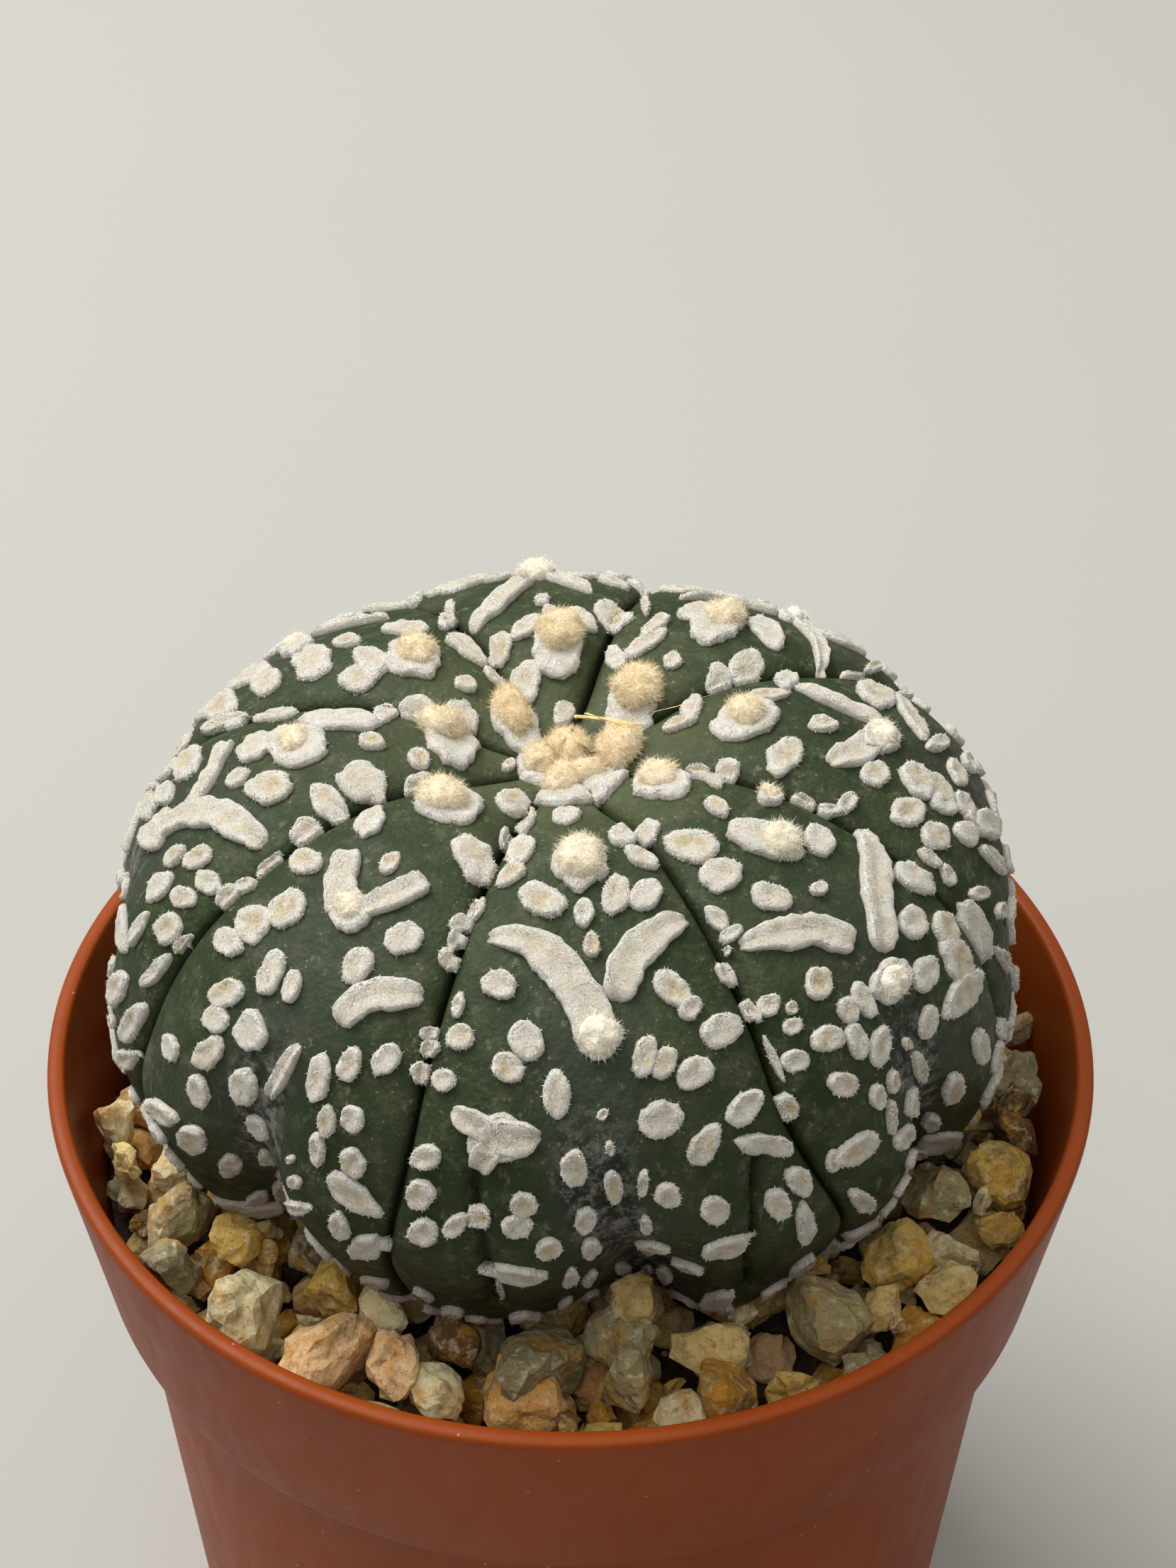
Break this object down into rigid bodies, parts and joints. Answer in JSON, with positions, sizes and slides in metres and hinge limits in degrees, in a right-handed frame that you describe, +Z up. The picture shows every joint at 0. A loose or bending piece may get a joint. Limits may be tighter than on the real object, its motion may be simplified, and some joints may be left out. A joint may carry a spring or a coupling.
{
  "type": "potted super kabuto star cactus",
  "caption": "Domed star cactus with flat ribs, woolly areoles and raised white flecks, standing in grit in a round plastic nursery pot.",
  "frame": {"origin": "middle of the ring that the pot stands on", "axes": "+Z up along the pot's axis; the picture's camera looks along +Y, with +X to its right"},
  "size_m": [0.085, 0.085, 0.1068],
  "materials": {
    "pot": "terracotta-coloured moulded plastic, satin",
    "soil": "dark crumbly potting mix",
    "gravel": "broken quartz and granite grit, yellow to rust",
    "cactus": "waxy dark green skin with felted white flecks and cream wool"
  },
  "bodies": {
    "root": {"pot": "pot", "soil": "soil", "gravel": "gravel", "cactus": "cactus"}
  },
  "joints": []
}
